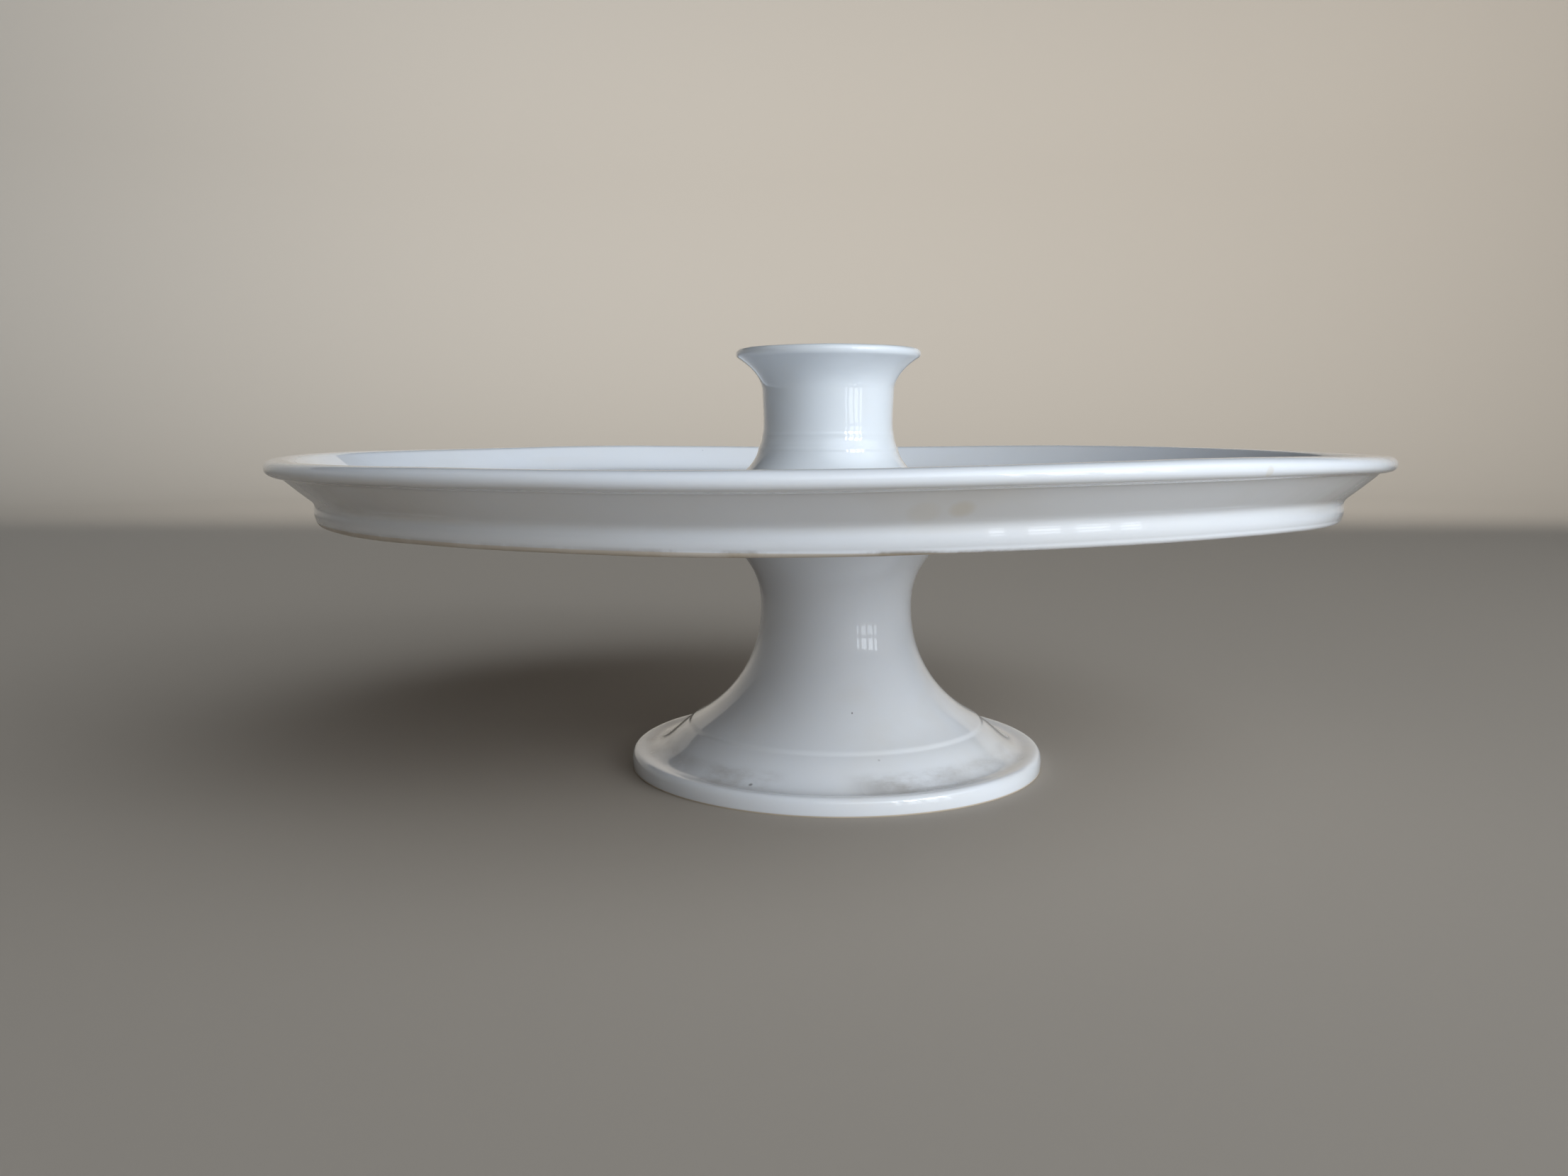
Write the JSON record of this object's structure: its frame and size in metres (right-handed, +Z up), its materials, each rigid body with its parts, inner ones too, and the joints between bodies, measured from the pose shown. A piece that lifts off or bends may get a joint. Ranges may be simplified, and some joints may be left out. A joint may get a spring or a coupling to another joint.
{
  "type": "cake stand",
  "caption": "Footed white porcelain cake stand: a shallow round plate with a rolled lip on a trumpet-shaped pedestal, with a flared spool-shaped cup at its centre.",
  "frame": {"origin": "on the table, under the middle of the foot", "axes": "+Z up along the axis that the pedestal, plate and cup share; the stand is round, so +X and +Y are any two directions at right angles across the table"},
  "size_m": [0.3599, 0.36, 0.1435],
  "materials": {
    "porcelain": "gloss",
    "cork": "matte",
    "leather": "satin",
    "brass": "satin"
  },
  "bodies": {
    "root": {"pedestal": "porcelain", "serving_plate": "porcelain", "centre_cup": "porcelain", "plate_gasket": "cork", "cup_gasket": "cork", "tie_rod": "brass", "cap_nut": "brass", "cap_washer": "brass", "leather_washer": "leather", "cork_washer": "cork", "clamp_washer": "brass", "clamp_nut": "brass"}
  },
  "joints": []
}
